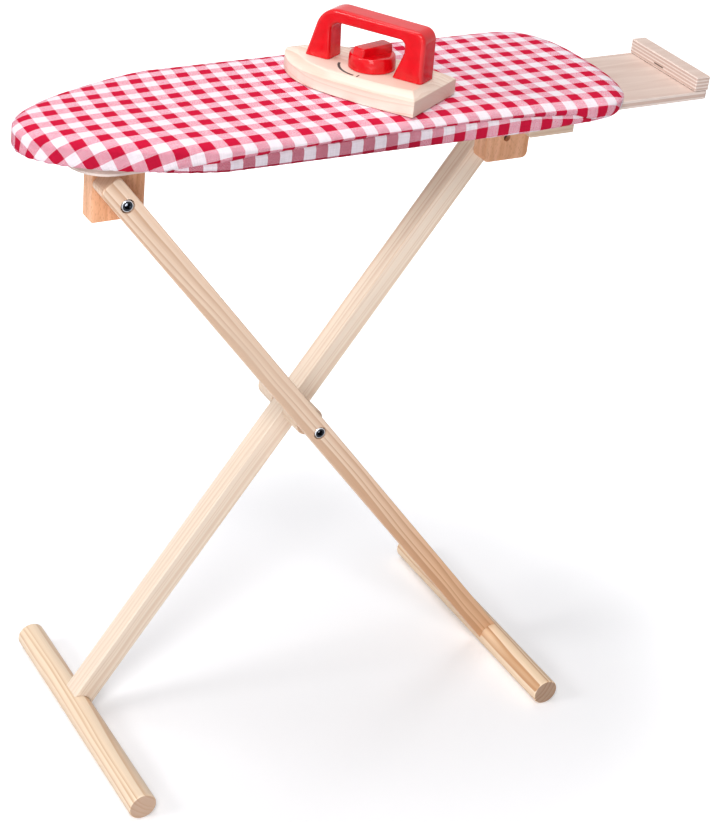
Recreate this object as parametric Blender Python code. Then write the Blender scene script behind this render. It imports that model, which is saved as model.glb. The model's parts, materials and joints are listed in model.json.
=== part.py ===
"""Toy ironing board with a folding scissor stand and a loose toy iron, modelled in Blender.

Metres, +Z up. X runs along the board from its nose (-X) to the iron tray (+X), Y across it, and
the origin is on the floor under the middle of the bounding box. Every moving piece hangs from an
empty that sits on its joint's axis.
"""

import math

import bmesh
import bpy
from mathutils import Matrix, Vector

MM = 0.001

# Fits, shared by all pieces
gap = 0.3 * MM               # between two pieces that touch
overrun = 4 * MM             # how far a cutter runs past what it cuts
eased_edge = 0.9 * MM        # sanded edge of the wooden pieces
round_sides = 40             # sides of a dowel or a bolt head
hole_sides = 28              # sides of a hole, a shank or a screw

# Board top
cover_length = 518 * MM      # nose to square end, over the cloth
nose_taper = 137 * MM        # from the nose tip to the full width
taper_power = 1.2
nose_half_width = 81 * MM    # half width where the taper ends
tail_half_width = 85.5 * MM  # half width just before the square end
tail_round = 58 * MM         # length over which the square end rounds off
tail_power = 4
cloth = 1.0 * MM
hem_turn = 20 * MM           # cloth folded under the panel
pad_side = 14.3 * MM         # height of the cover's side band
pad_crown = 6.5 * MM         # rise of the top above the side seam
crown_run = 18 * MM          # width of the rounded shoulder
panel_thickness = 6 * MM
outline_sides = 48

# Base board, tray and lip
base_thickness = 7.4 * MM
base_setback = 34 * MM       # nose of the base board behind the nose of the cover
base_nose_round = 30 * MM
tray_reach = 93.5 * MM       # base board past the cover's square end
tray_corner = 3 * MM
lip_width = 14.2 * MM
lip_height = 12.9 * MM
batten_width = 13.5 * MM
batten_clearance = 1.05 * MM  # between the far batten and leg B
batten_height = 14.3 * MM
batten_length = 50 * MM
batten_bevel = 7 * MM
batten_before_block = 14.7 * MM  # batten's nose end before the rest block's pivot

# Scissor stand
base_underside = 560.9 * MM  # height of the base board's lower face
pivot_drop = 33.3 * MM       # hinge and block pivots below that face
pivot_from_nose = 79 * MM
leg_side = 20 * MM
leg_a_span = 654.4 * MM      # board pivot to foot centre
leg_b_span = 632.8 * MM
cross_share = 0.4677         # crossing bolt's place along each span, from the board end
leg_a_top = 25 * MM          # leg past its board pivot
leg_b_top = 22 * MM
leg_end_round = 5 * MM
foot_radius = 12.5 * MM
foot_length = 260 * MM
foot_end_bevel = 0.8 * MM
spacer_length = 26.3 * MM    # round piece between the crossing legs
spacer_radius = 13 * MM
boss_length = 27 * MM        # round piece behind the crossing
block_length = 43.8 * MM     # hinge bracket and rest block, along the board
block_thickness = 17.9 * MM
block_drop = 20.8 * MM       # block below its pivot
block_lead = 1 * MM          # block centre past its pivot
block_edge = 1.4 * MM        # sanded corners of both blocks
block_corner = 5 * MM        # rounded lower corners of the rest block

# Hardware
bolt_radius = 3 * MM
head_radius = 5 * MM
head_height = 6 * MM
head_edge = 0.5 * MM
head_sunk = 0.4 * MM
counterbore_radius = 6 * MM
socket_across = 5 * MM       # hexagon socket, flat to flat
socket_depth = 3 * MM
insert_radius = 4.6 * MM
insert_length = 12 * MM
bolt_short = 3 * MM          # bolt end back from the insert's mouth
screw_radius = 1.8 * MM
screw_head_radius = 3.6 * MM
screw_head_height = 2.2 * MM
screw_tip = 3 * MM
panel_screw_bite = 4 * MM
panel_screw_inset = 43.8 * MM  # rear panel screws inside the hem
batten_screw_bite = 5 * MM
lip_screw_bite = 9 * MM
bracket_screw_bite = 14 * MM
foot_screw_bite = 26 * MM
handle_screw_bite = 13 * MM

# Toy iron, its own axes: X from the rear edge to the nose, Z up from the sole
iron_rear_x = 248.2 * MM     # rear edge's middle from the hinge pivot, along the board
iron_rear_y = -57.6 * MM     # and across it
iron_heading = math.radians(120.3)
sole_length = 139 * MM
sole_rear_half = 34.2 * MM
sole_half_width = 38.8 * MM
sole_widest = 55 * MM
sole_nose_power = 3.8
sole_tip_power = 0.83
sole_wall = 13 * MM
sole_height = 17.9 * MM      # at the rear
sole_fall = 3.9 * MM         # deck lower at the nose
wall_fall = 2 * MM
sole_bevel_rear = 7 * MM
sole_bevel_side = 10.4 * MM
sole_bevel_nose = 12 * MM
handle_thickness = 21 * MM
handle_height = 43 * MM
handle_rear = 8.2 * MM       # rear face from the sole's rear edge
handle_length = 107.5 * MM   # at its feet
handle_rake = 13.5 * MM      # how far the front leans back over its height
handle_drop = 2 * MM         # grip lower at the rear
handle_front_post = 22.5 * MM
handle_rear_post = 26.8 * MM
handle_rear_waist = 18 * MM  # rear post under the grip
handle_grip = 10.5 * MM
handle_front_round = 22 * MM
handle_rear_round = 9 * MM
handle_inner_round = 8 * MM
handle_edge = 3 * MM
dial_place = 59 * MM         # dial centre from the sole's rear edge
dial_radius = 19 * MM
dial_skirt = 12 * MM
dial_height = 18.5 * MM
dial_taper = 2 * MM          # top narrower than the skirt's foot
dial_grip = 12 * MM          # thickness of the raised grip
dial_edge = 1 * MM
dial_turn = math.radians(-108)
dial_pin_radius = 3 * MM
dial_pin_length = 20 * MM

# Derived heights and places
base_top = base_underside + base_thickness
cover_bottom = base_top + gap
panel_bottom = cover_bottom + cloth + gap
panel_top = panel_bottom + panel_thickness
seam_z = cover_bottom + pad_side + cloth
cover_top = seam_z + pad_crown
pivot_z = base_underside - pivot_drop
leg_a_slope = math.asin((pivot_z - foot_radius) / leg_a_span)
leg_b_slope = math.asin((pivot_z - foot_radius) / leg_b_span)
leg_a_upper = leg_a_span * cross_share
leg_b_upper = leg_b_span * cross_share
cross_from_pivot = leg_a_upper * math.cos(leg_a_slope)
block_from_pivot = cross_from_pivot + leg_b_upper * math.cos(leg_b_slope)
total_length = cover_length + tray_reach
nose_x = -total_length / 2
tray_end = total_length / 2
tail_x = nose_x + cover_length
pivot_x = nose_x + pivot_from_nose
leg_gap = spacer_length + 2 * gap
leg_a_y = -(leg_gap + leg_side) / 2
leg_b_y = (leg_gap + leg_side) / 2
half_block = block_thickness / 2
bracket_y = -leg_gap / 2 + gap + half_block
block_y = leg_gap / 2 - gap - half_block
base_width = 2 * (leg_b_y + leg_side / 2 + batten_clearance + batten_width)
batten_start = block_from_pivot - batten_before_block
sole_z = cover_top + gap
deck_slope = math.atan(sole_fall / sole_length)


def clear_scene():
    for obj in list(bpy.data.objects):
        bpy.data.objects.remove(obj, do_unlink=True)


def make_material(name, color, roughness, metallic=0.0):
    material = bpy.data.materials.new(name)
    material.use_nodes = True
    shader = material.node_tree.nodes["Principled BSDF"]
    shader.inputs["Base Color"].default_value = (*color, 1.0)
    shader.inputs["Roughness"].default_value = roughness
    shader.inputs["Metallic"].default_value = metallic
    material.diffuse_color = (*color, 1.0)
    return material


def make_empty(name, location, parent=None, turn=(0.0, 0.0, 0.0)):
    empty = bpy.data.objects.new(name, None)
    bpy.context.scene.collection.objects.link(empty)
    empty.empty_display_size = leg_side
    empty.location = location
    empty.rotation_euler = turn
    empty.parent = parent
    return empty


def add_object(name, bm, material, parent, location=(0.0, 0.0, 0.0), smooth=True):
    """Turns a bmesh into a linked object under its parent."""
    bmesh.ops.recalc_face_normals(bm, faces=bm.faces)
    mesh = bpy.data.meshes.new(name)
    bm.to_mesh(mesh)
    bm.free()
    if material:
        mesh.materials.append(material)
    if smooth:
        mesh.shade_smooth()
        mesh.set_sharp_from_angle(angle=math.radians(35))
    obj = bpy.data.objects.new(name, mesh)
    bpy.context.scene.collection.objects.link(obj)
    obj.parent = parent
    obj.location = location
    return obj


def rings_mesh(rings, close_start=True, close_end=True):
    """Skins a list of rings with equal point counts, capping the ends with polygons."""
    bm = bmesh.new()
    made = [[bm.verts.new(point) for point in ring] for ring in rings]
    count = len(made[0])
    for first, second in zip(made, made[1:]):
        for i in range(count):
            j = (i + 1) % count
            bm.faces.new((first[i], first[j], second[j], second[i]))
    if close_start:
        bm.faces.new(made[0])
    if close_end:
        bm.faces.new(made[-1])
    return bm


def turned(profile, sides, axis="Y"):
    """Solid of revolution from (radius, place) pairs. The axis is Y or Z, and the ends are capped."""
    rings = []
    for radius, place in profile:
        ring = []
        for i in range(sides):
            angle = math.tau * i / sides
            across, up = radius * math.cos(angle), radius * math.sin(angle)
            ring.append((across, place, up) if axis == "Y" else (across, up, place))
        rings.append(ring)
    return rings_mesh(rings)


def prism(outline, low, high, axis="Y"):
    """Extrudes an outline of (x, z) points along Y, or of (x, y) points along Z."""
    if axis == "Y":
        rings = [[(x, level, z) for x, z in outline] for level in (low, high)]
    else:
        rings = [[(x, y, level) for x, y in outline] for level in (low, high)]
    return rings_mesh(rings)


def filleted(corners, steps=6):
    """Rounds the corners of a polygon given as (x, y, radius)."""
    points = []
    count = len(corners)
    for i, (x, y, radius) in enumerate(corners):
        here = Vector((x, y))
        if not radius:
            points.append((x, y))
            continue
        before = (Vector(corners[i - 1][:2]) - here).normalized()
        after = (Vector(corners[(i + 1) % count][:2]) - here).normalized()
        half = before.angle(after) / 2
        reach = radius / math.tan(half)
        centre = here + (before + after).normalized() * (radius / math.sin(half))
        start = here + before * reach - centre
        turn = (here + after * reach - centre).angle_signed(start)
        for k in range(steps + 1):
            spun = start.copy()
            spun.rotate(Matrix.Rotation(turn * k / steps, 2))
            points.append(tuple(centre + spun))
    return points


def rectangle(low_x, high_x, low_y, high_y, radius=0.0):
    return [(low_x, low_y, radius), (high_x, low_y, radius), (high_x, high_y, radius), (low_x, high_y, radius)]


def ease(obj, width=eased_edge, segments=2, angle=50):
    """Sanded edges, made before any hole is cut."""
    bevel = obj.modifiers.new("eased edges", "BEVEL")
    bevel.width = width
    bevel.segments = segments
    bevel.limit_method = "ANGLE"
    bevel.angle_limit = math.radians(angle)
    bevel.harden_normals = False


def cut(obj, cutter):
    """Takes the cutter out of the piece. The cutter stays in the scene as a hidden helper."""
    cutter.hide_render = True
    cutter.display_type = "WIRE"
    boolean = obj.modifiers.new("cut by " + cutter.name, "BOOLEAN")
    boolean.operation = "DIFFERENCE"
    boolean.solver = "EXACT"
    boolean.object = cutter


def bore(obj, name, radius, low, high, parent, location, sides=hole_sides):
    """Cuts a straight round hole along Y."""
    cut(obj, add_object(name, turned([(radius, low), (radius, high)], sides), None, parent, location))


def screw_profile(length, grow=0.0):
    """Countersunk wood screw from its head's face down to its tip, or its hole when grown."""
    return [
        (screw_head_radius + grow, 0.0),
        (screw_radius + grow, screw_head_height),
        (screw_radius + grow, length - screw_tip + grow),
        (screw_radius / 3 + grow / 2, length + grow),
    ]


def add_screw(name, length, parent, location, direction, holders):
    """A screw whose head face is at location and whose shank runs along direction."""
    turn = Vector((0.0, 0.0, 1.0)).rotation_difference(Vector(direction)).to_euler()
    screw = add_object(name, turned(screw_profile(length), hole_sides // 2, "Z"), zinc, parent, location)
    screw.rotation_euler = turn
    for holder in holders:
        profile = screw_profile(length, gap)
        profile.insert(0, (screw_head_radius + gap, -overrun))
        cutter = add_object(name + " hole", turned(profile, hole_sides // 2, "Z"), None, parent, location)
        cutter.rotation_euler = turn
        cut(holder, cutter)
    return screw


def add_bolt(name, length, parent, location, direction):
    """Socket-head cap screw along Y. direction is +1 when the shank runs towards +Y."""
    profile = [
        (head_radius - head_edge, 0.0),
        (head_radius, head_edge),
        (head_radius, head_height),
        (bolt_radius, head_height),
        (bolt_radius, length - head_edge),
        (bolt_radius - head_edge, length),
    ]
    profile = [(radius, place * direction) for radius, place in profile]
    bolt = add_object(name, turned(profile, round_sides), zinc, parent, location)
    socket = [(socket_across / math.sqrt(3), -overrun * direction), (socket_across / math.sqrt(3), socket_depth * direction)]
    cut(bolt, add_object(name + " socket", turned(socket, 6), None, parent, location))
    return bolt


def add_insert(name, parent, location):
    """Threaded insert: a sleeve round the bolt, along Y from its location."""
    sleeve = add_object(
        name,
        turned([(insert_radius, 0.0), (insert_radius, insert_length)], hole_sides),
        zinc,
        parent,
        location,
    )
    bore(sleeve, name + " bore", bolt_radius + gap, -overrun, insert_length + overrun, parent, location, hole_sides // 2)
    return sleeve


def board_half_width(x):
    """Half width of the covered board at x: nose taper, a slow widening, then the rounded square end."""
    along = (x - nose_x) / nose_taper
    from_tail = (x - (tail_x - tail_round)) / tail_round
    body = nose_half_width + (tail_half_width - nose_half_width) * (x - nose_x) / cover_length
    if along < 1:
        body *= math.sqrt(max(0.0, 1 - (1 - max(along, 0.0)) ** taper_power))
    if from_tail > 0:
        body *= math.sqrt(max(0.0, 1 - min(from_tail, 1.0) ** tail_power))
    return body


def board_stations():
    """Places along the board, closest together where the outline turns most."""
    half = outline_sides // 2
    return [nose_x + cover_length * (1 - math.cos(math.pi * i / half)) / 2 for i in range(half + 1)]


def board_ring(inset, z):
    """The board's outline drawn in by inset on every side, at height z."""
    middle = (nose_x + tail_x) / 2
    along_scale = 1 - 2 * inset / cover_length
    across_scale = 1 - inset / tail_half_width
    stations = board_stations()
    near = [(x, -board_half_width(x)) for x in stations]
    far = [(x, board_half_width(x)) for x in reversed(stations[1:-1])]
    return [(middle + (x - middle) * along_scale, y * across_scale, z) for x, y in near + far]


def crown_rings(inside, steps=4):
    """Rings over the side band and the rounded shoulder, a constant step inside the outer skin."""
    rings = [board_ring(inside, seam_z - inside)]
    for i in range(1, steps + 1):
        share = i / steps
        rise = pad_crown * (1 - (1 - share) ** 2)
        rings.append(board_ring(inside + crown_run * share, seam_z + rise - inside))
    return rings


def make_cover():
    """Fitted cloth cover: side band, rounded shoulders, crown, and a hem folded under the panel."""
    outside = [
        board_ring(hem_turn, cover_bottom),
        board_ring(cloth, cover_bottom),
        board_ring(0.0, cover_bottom + cloth),
    ]
    outside += crown_rings(0.0)
    inside = crown_rings(cloth)[::-1]
    inside += [board_ring(cloth, cover_bottom + cloth), board_ring(hem_turn, cover_bottom + cloth)]
    bm = bmesh.new()
    made = [[bm.verts.new(point) for point in ring] for ring in outside + inside]
    top, under = made[len(outside) - 1], made[len(outside)]
    count = len(top)
    for first, second in zip(made, made[1:] + made[:1]):
        if first is top:
            continue
        for i in range(count):
            j = (i + 1) % count
            bm.faces.new((first[i], first[j], second[j], second[i]))
    bm.faces.new(top)
    bm.faces.new(under)
    return add_object("gingham_cover", bm, gingham, board)


def make_pad():
    inside = cloth + gap
    rings = [board_ring(inside, panel_top + gap)] + crown_rings(inside)
    return add_object("foam_pad", rings_mesh(rings), foam, board)


def make_panel():
    inside = cloth + gap
    rings = [board_ring(inside, panel_bottom), board_ring(inside, panel_top)]
    return add_object("board_panel", rings_mesh(rings), plywood, board)


def make_base():
    """Long plywood board whose far end is the tray for the iron."""
    half = base_width / 2
    start = nose_x + base_setback
    outline = filleted([
        (start, -half, base_nose_round), (tray_end, -half, tray_corner),
        (tray_end, half, tray_corner), (start, half, base_nose_round),
    ])
    base = add_object("base_board", prism(outline, base_underside, base_top, "Z"), plywood, board)
    ease(base, eased_edge / 2, 1)
    return base


def make_box(name, low, high, material, radius=0.0, width=eased_edge):
    """Upright block from its low to its high corner, with rounded upright edges if wanted."""
    outline = filleted(rectangle(low[0], high[0], low[1], high[1], radius), 3)
    box = add_object(name, prism(outline, low[2], high[2], "Z"), material, board)
    ease(box, width)
    return box


def make_batten(name, low_y, high_y):
    start = pivot_x + batten_start
    low = base_underside - gap - batten_height
    outline = [
        (start + batten_bevel, low), (start + batten_length, low),
        (start + batten_length, low + batten_height), (start, low + batten_height),
    ]
    batten = add_object(name, prism(outline, low_y, high_y), pine, board)
    ease(batten, eased_edge / 2, 1)
    return batten


def make_block(name, parent, y, material, corner=block_edge):
    """Hinge bracket or rest block: a plain block round its pivot, up to the base board."""
    low_x, high_x = block_lead - block_length / 2, block_lead + block_length / 2
    outline = filleted([
        (low_x, -block_drop, corner), (high_x, -block_drop, corner),
        (high_x, pivot_drop - gap, block_edge), (low_x, pivot_drop - gap, block_edge),
    ], 3)
    block = add_object(name, prism(outline, -half_block, half_block), material, parent, (0.0, y, 0.0))
    ease(block, eased_edge, 2)
    return block


def make_leg(name, parent, top, foot, holes):
    """Square bar along its own X with a rounded top end and a saddle cut for the round foot."""
    half = leg_side / 2
    outline = filleted([(top, -half, leg_end_round), (foot, -half, 0.0), (foot, half, 0.0), (top, half, leg_end_round)], 4)
    leg = add_object(name, prism(outline, -half, half), pine, parent)
    ease(leg)
    bore(leg, name + " saddle", foot_radius + gap, -half - overrun, half + overrun, parent, (foot, 0.0, 0.0), round_sides)
    for number, (place, sunk_side) in enumerate(holes):
        tag = f"{name} hole {number}"
        bore(leg, tag, bolt_radius + gap, -half - overrun, half + overrun, parent, (place, 0.0, 0.0))
        if sunk_side:
            floor = half - head_sunk - head_height - gap
            spans = (floor, half + overrun) if sunk_side > 0 else (-half - overrun, -floor)
            bore(leg, tag + " counterbore", counterbore_radius, *spans, parent, (place, 0.0, 0.0))
    return leg


def make_foot(name, parent, place):
    half = foot_length / 2
    profile = [
        (foot_radius - foot_end_bevel, -half), (foot_radius, foot_end_bevel - half),
        (foot_radius, half - foot_end_bevel), (foot_radius - foot_end_bevel, half),
    ]
    return add_object(name, turned(profile, round_sides), pine, parent, place)


def make_round_piece(name, length, parent, location, material):
    """Short turned piece on the crossing bolt, its near face at the location."""
    edge = foot_end_bevel
    profile = [(spacer_radius - edge, 0.0), (spacer_radius, edge), (spacer_radius, length - edge), (spacer_radius - edge, length)]
    return add_object(name, turned(profile, round_sides), material, parent, location)


def sole_half(a):
    """Half width of the iron's sole at a: a slow swell from the rear, then a pointed arch."""
    if a < sole_widest:
        return sole_half_width - (sole_half_width - sole_rear_half) * (1 - a / sole_widest) ** 2
    share = min((a - sole_widest) / (sole_length - sole_widest), 1.0)
    return sole_half_width * (1 - share ** sole_nose_power) ** sole_tip_power


def make_sole():
    steps = 18
    places = [sole_length * math.sin(math.pi / 2 * i / steps) for i in range(steps + 1)]
    side = [(a, sole_half(a)) for a in places]
    outline = [(a, -w) for a, w in side] + [(a, w) for a, w in reversed(side[:-1])]
    top_scale = (sole_length - sole_bevel_rear - sole_bevel_nose) / sole_length
    across = 1 - sole_bevel_side / sole_half_width
    top = [(sole_bevel_rear + a * top_scale, w * across) for a, w in outline]
    rings = [[(a, w, height - fall * a / sole_length) for a, w in points] for points, height, fall in
             ((outline, 0.0, 0.0), (outline, sole_wall, wall_fall), (top, sole_height, sole_fall))]
    sole = add_object("iron_sole", rings_mesh(rings), pine, iron)
    ease(sole, eased_edge / 2, 1, 25)
    return sole


def make_handle():
    """Closed-loop grip on the deck: two posts under one bar, with softly rounded long edges."""
    base = gap
    rear, front = handle_rear, handle_rear + handle_length
    top_rear, top_front = base + handle_height - handle_drop, base + handle_height
    inner_rear, inner_front = rear + handle_rear_post, front - handle_front_post
    waist = rear + handle_rear_waist
    under = top_rear - handle_grip + handle_drop / 2
    outline = filleted([
        (inner_front, base, 0.0),
        (front, base, 0.0),
        (front - handle_rake, top_front, handle_front_round),
        (rear, top_rear, handle_rear_round),
        (rear, base, 0.0),
        (inner_rear, base, 0.0),
        (waist, base + handle_height / 2, handle_inner_round),
        (waist, under, handle_inner_round * 0.6),
        (inner_front + eased_edge, under, handle_inner_round),
    ], 5)
    half = handle_thickness / 2
    bm = prism(outline, -half, half)
    rim = [edge for edge in bm.edges
           if abs(edge.verts[0].co.y - edge.verts[1].co.y) < gap
           and not all(abs(vert.co.z - base) < gap / 2 for vert in edge.verts)]
    bmesh.ops.bevel(bm, geom=rim, offset=handle_edge, segments=3, profile=0.5, affect="EDGES")
    return add_object("iron_handle", bm, red_gloss, deck)


def make_dial():
    """Round knob with a raised grip across it, on its own pivot."""
    narrow = dial_radius - dial_taper
    profile = [
        (dial_radius, gap), (dial_radius, dial_skirt / 2), (dial_radius - dial_taper / 4, dial_skirt),
        (narrow, dial_height - dial_edge), (narrow - dial_edge, dial_height),
    ]
    dial = add_object("iron_dial", turned(profile, round_sides, "Z"), red_gloss, dial_axis)
    reach = dial_radius + overrun
    for side, tag in ((-1, "near"), (1, "far")):
        low, high = sorted((side * dial_grip / 2, side * reach))
        outline = [(-reach, low), (reach, low), (reach, high), (-reach, high)]
        cut(dial, add_object(f"dial {tag} step", prism(outline, dial_skirt, dial_height + overrun, "Z"), None, dial_axis))
    pocket = [(dial_pin_radius + gap, -overrun), (dial_pin_radius + gap, dial_pin_length / 2 + gap)]
    cut(dial, add_object("dial bore", turned(pocket, hole_sides // 2, "Z"), None, dial_axis))
    return dial


clear_scene()

pine = make_material("pine", (0.72, 0.50, 0.29), 0.55)
beech = make_material("oiled beech", (0.50, 0.26, 0.12), 0.5)
plywood = make_material("birch plywood", (0.78, 0.62, 0.42), 0.55)
gingham = make_material("gingham cotton", (0.72, 0.10, 0.16), 0.9)
foam = make_material("pad foam", (0.85, 0.82, 0.74), 0.95)
zinc = make_material("zinc-plated steel", (0.62, 0.62, 0.60), 0.35, 1.0)
red_gloss = make_material("red moulded plastic", (0.80, 0.01, 0.02), 0.18)

board = make_empty("board", (0.0, 0.0, 0.0))
leg_a_pivot = make_empty("leg_a_pivot", (pivot_x, leg_a_y, pivot_z), board, (0.0, leg_a_slope, 0.0))
leg_b_pivot = make_empty(
    "leg_b_pivot", (leg_a_upper, leg_b_y - leg_a_y, 0.0), leg_a_pivot, (0.0, -leg_a_slope - leg_b_slope, 0.0)
)
block_pivot = make_empty("block_pivot", (leg_b_upper, -leg_b_y, 0.0), leg_b_pivot, (0.0, leg_b_slope, 0.0))
bracket_pivot = make_empty("bracket_pivot", (pivot_x, 0.0, pivot_z), board)
iron = make_empty("iron", (pivot_x + iron_rear_x, iron_rear_y, sole_z), board, (0.0, 0.0, iron_heading))
deck = make_empty("iron_deck", (0.0, 0.0, sole_height), iron, (0.0, deck_slope, 0.0))
dial_axis = make_empty("dial_axis", (dial_place, 0.0, 0.0), deck, (0.0, 0.0, dial_turn))

# Board
make_cover()
make_pad()
panel = make_panel()
base = make_base()
lip_low = base_top + gap
lip = make_box(
    "tray_lip",
    (tray_end - lip_width, -base_width / 2, lip_low),
    (tray_end, base_width / 2, lip_low + lip_height),
    plywood,
)
batten_edge = base_width / 2 - batten_width
batten_near = make_batten("batten_near", -base_width / 2, -batten_edge)
batten_far = make_batten("batten_far", batten_edge, base_width / 2)
bracket = make_block("hinge_bracket", bracket_pivot, bracket_y, beech)

# Leg A with its foot, the crossing bolt and the two round pieces on it
half_leg = leg_side / 2
leg_a = make_leg("leg_a", leg_a_pivot, -leg_a_top, leg_a_span, [(0.0, -1), (leg_a_upper, -1)])
foot_a = make_foot("foot_a", leg_a_pivot, (leg_a_span, -leg_a_y, 0.0))
spacer = make_round_piece("crossing_spacer", spacer_length, leg_a_pivot, (leg_a_upper, half_leg + gap, 0.0), pine)
boss_y = half_leg + leg_gap + leg_side + gap
boss = make_round_piece("crossing_boss", boss_length, leg_a_pivot, (leg_a_upper, boss_y, 0.0), pine)
head_y = head_sunk - half_leg
insert_y = boss_y + boss_length - insert_length - gap
bolt_end = insert_y + insert_length - bolt_short
add_bolt("crossing_bolt", bolt_end - head_y, leg_a_pivot, (leg_a_upper, head_y, 0.0), 1)
add_insert("crossing_insert", leg_a_pivot, (leg_a_upper, insert_y, 0.0))
for holder, tag, low, high in ((spacer, "spacer", half_leg, half_leg + leg_gap), (boss, "boss", boss_y, boss_y + boss_length)):
    bore(holder, tag + " bore", bolt_radius + gap, low - overrun, high + overrun, leg_a_pivot, (leg_a_upper, 0.0, 0.0))
bore(boss, "boss insert seat", insert_radius + gap, insert_y - gap, boss_y + boss_length + overrun, leg_a_pivot, (leg_a_upper, 0.0, 0.0))

# Leg B with its foot
leg_b = make_leg("leg_b", leg_b_pivot, leg_b_upper + leg_b_top, leg_b_upper - leg_b_span, [(0.0, 0), (leg_b_upper, 1)])
foot_b = make_foot("foot_b", leg_b_pivot, (leg_b_upper - leg_b_span, -leg_b_y, 0.0))

# Hinge bolt at the bracket, threaded into an insert in its far face
bracket_far = bracket_y + half_block
add_bolt(
    "hinge_bolt", bracket_far - gap - bolt_short - leg_a_y + half_leg - head_sunk,
    bracket_pivot, (0.0, leg_a_y - half_leg + head_sunk, 0.0), 1,
)
add_insert("hinge_insert", bracket_pivot, (0.0, bracket_far - insert_length - gap, 0.0))
bore(bracket, "bracket bore", bolt_radius + gap, bracket_y - half_block - overrun, bracket_far + overrun, bracket_pivot, (0.0, 0.0, 0.0))
bore(bracket, "bracket insert seat", insert_radius + gap, bracket_far - insert_length - 2 * gap, bracket_far + overrun, bracket_pivot, (0.0, 0.0, 0.0))

# Rest block on leg B, its bolt put in from behind the leg and its open hole facing the front
block = make_block("rest_block", block_pivot, block_y, beech, block_corner)
block_far = block_y + half_block
block_head_y = leg_b_y + half_leg - head_sunk
add_bolt("block_bolt", block_head_y - block_far + insert_length, block_pivot, (0.0, block_head_y, 0.0), -1)
add_insert("block_insert", block_pivot, (0.0, block_far - insert_length - gap, 0.0))
bore(block, "block bore", bolt_radius + gap, block_y - half_block - overrun, block_far + overrun, block_pivot, (0.0, 0.0, 0.0))
bore(block, "block insert seat", insert_radius + gap, block_far - insert_length - 2 * gap, block_far + overrun, block_pivot, (0.0, 0.0, 0.0))

# Foot screws, up through each dowel into the leg's end
sunk = foot_radius - gap
foot_screw_length = sunk + foot_radius + gap + foot_screw_bite
add_screw("foot_a_screw", foot_screw_length, leg_a_pivot, (leg_a_span + sunk, 0.0, 0.0), (-1, 0, 0), (foot_a, leg_a))
add_screw(
    "foot_b_screw", foot_screw_length, leg_b_pivot,
    (leg_b_upper - leg_b_span - sunk, 0.0, 0.0), (1, 0, 0), (foot_b, leg_b),
)

# Screws of the board: down into the bracket, up into the panel, the lip and through the battens
bracket_screw_length = base_thickness + gap + bracket_screw_bite
screw_inset = block_length / 4
for tag, x in (("nose", pivot_x + block_lead - screw_inset), ("tail", pivot_x + block_lead + screw_inset)):
    add_screw(f"bracket_screw_{tag}", bracket_screw_length, board, (x, bracket_y, base_top - gap), (0, 0, -1), (base, bracket))
panel_screw_length = panel_bottom + panel_screw_bite - base_underside - gap
screw_row = base_width / 2 - batten_width / 2
for end, x in (("nose", pivot_x + block_length), ("tail", tail_x - hem_turn - panel_screw_inset)):
    for side, y in (("near", -screw_row), ("far", screw_row)):
        add_screw(f"panel_screw_{end}_{side}", panel_screw_length, board, (x, y, base_underside + gap), (0, 0, 1), (base, panel))
lip_screw_length = base_thickness + lip_screw_bite
for side, y in (("near", -screw_row), ("far", screw_row)):
    add_screw(
        f"lip_screw_{side}", lip_screw_length, board,
        (tray_end - lip_width / 2, y, base_underside + gap), (0, 0, 1), (base, lip),
    )
batten_screw_length = batten_height + batten_screw_bite
for side, holder, y in (("near", batten_near, -screw_row), ("far", batten_far, screw_row)):
    for end, share in (("nose", 0.35), ("tail", 0.8)):
        place = (pivot_x + batten_start + batten_length * share, y, base_underside - batten_height)
        add_screw(f"batten_screw_{side}_{end}", batten_screw_length, board, place, (0, 0, 1), (holder, base))

# Toy iron
sole = make_sole()
handle = make_handle()
make_dial()
pin_half = dial_pin_length / 2
add_object(
    "dial_pin", turned([(dial_pin_radius, -pin_half), (dial_pin_radius, pin_half)], hole_sides, "Z"),
    zinc, deck, (dial_place, 0.0, 0.0),
)
pin_seat = turned([(dial_pin_radius + gap, -pin_half - gap), (dial_pin_radius + gap, overrun)], hole_sides, "Z")
cut(sole, add_object("pin seat", pin_seat, None, deck, (dial_place, 0.0, 0.0)))
handle_screw_length = sole_height + handle_screw_bite
for end, x in (("rear", handle_rear + handle_rear_post / 2), ("front", handle_rear + handle_length - handle_front_post / 2)):
    add_screw(f"handle_screw_{end}", handle_screw_length, iron, (x, 0.0, gap), (0, 0, 1), (sole, handle))
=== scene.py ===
import json
import math
from functools import partial

import bpy
import numpy as np
from mathutils import Matrix, Vector


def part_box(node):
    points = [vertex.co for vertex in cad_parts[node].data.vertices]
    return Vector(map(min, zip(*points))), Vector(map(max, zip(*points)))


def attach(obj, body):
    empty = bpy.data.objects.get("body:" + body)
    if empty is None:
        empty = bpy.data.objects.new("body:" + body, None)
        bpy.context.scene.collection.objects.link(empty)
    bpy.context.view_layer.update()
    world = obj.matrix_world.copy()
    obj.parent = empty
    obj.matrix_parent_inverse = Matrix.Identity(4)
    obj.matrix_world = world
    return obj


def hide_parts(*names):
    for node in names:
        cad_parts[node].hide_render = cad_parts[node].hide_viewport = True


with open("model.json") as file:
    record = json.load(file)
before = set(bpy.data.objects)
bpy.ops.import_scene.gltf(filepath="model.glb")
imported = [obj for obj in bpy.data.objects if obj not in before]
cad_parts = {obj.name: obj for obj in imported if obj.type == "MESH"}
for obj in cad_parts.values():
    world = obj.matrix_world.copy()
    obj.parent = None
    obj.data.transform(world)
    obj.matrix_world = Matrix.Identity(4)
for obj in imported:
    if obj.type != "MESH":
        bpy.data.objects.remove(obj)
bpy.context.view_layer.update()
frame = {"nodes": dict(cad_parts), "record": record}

# Toy ironing board: padded gingham board on a scissor stand, with a toy iron on it.
# Metres, X along the board from its nose to the iron tray, Y away from the camera, Z up.

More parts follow.
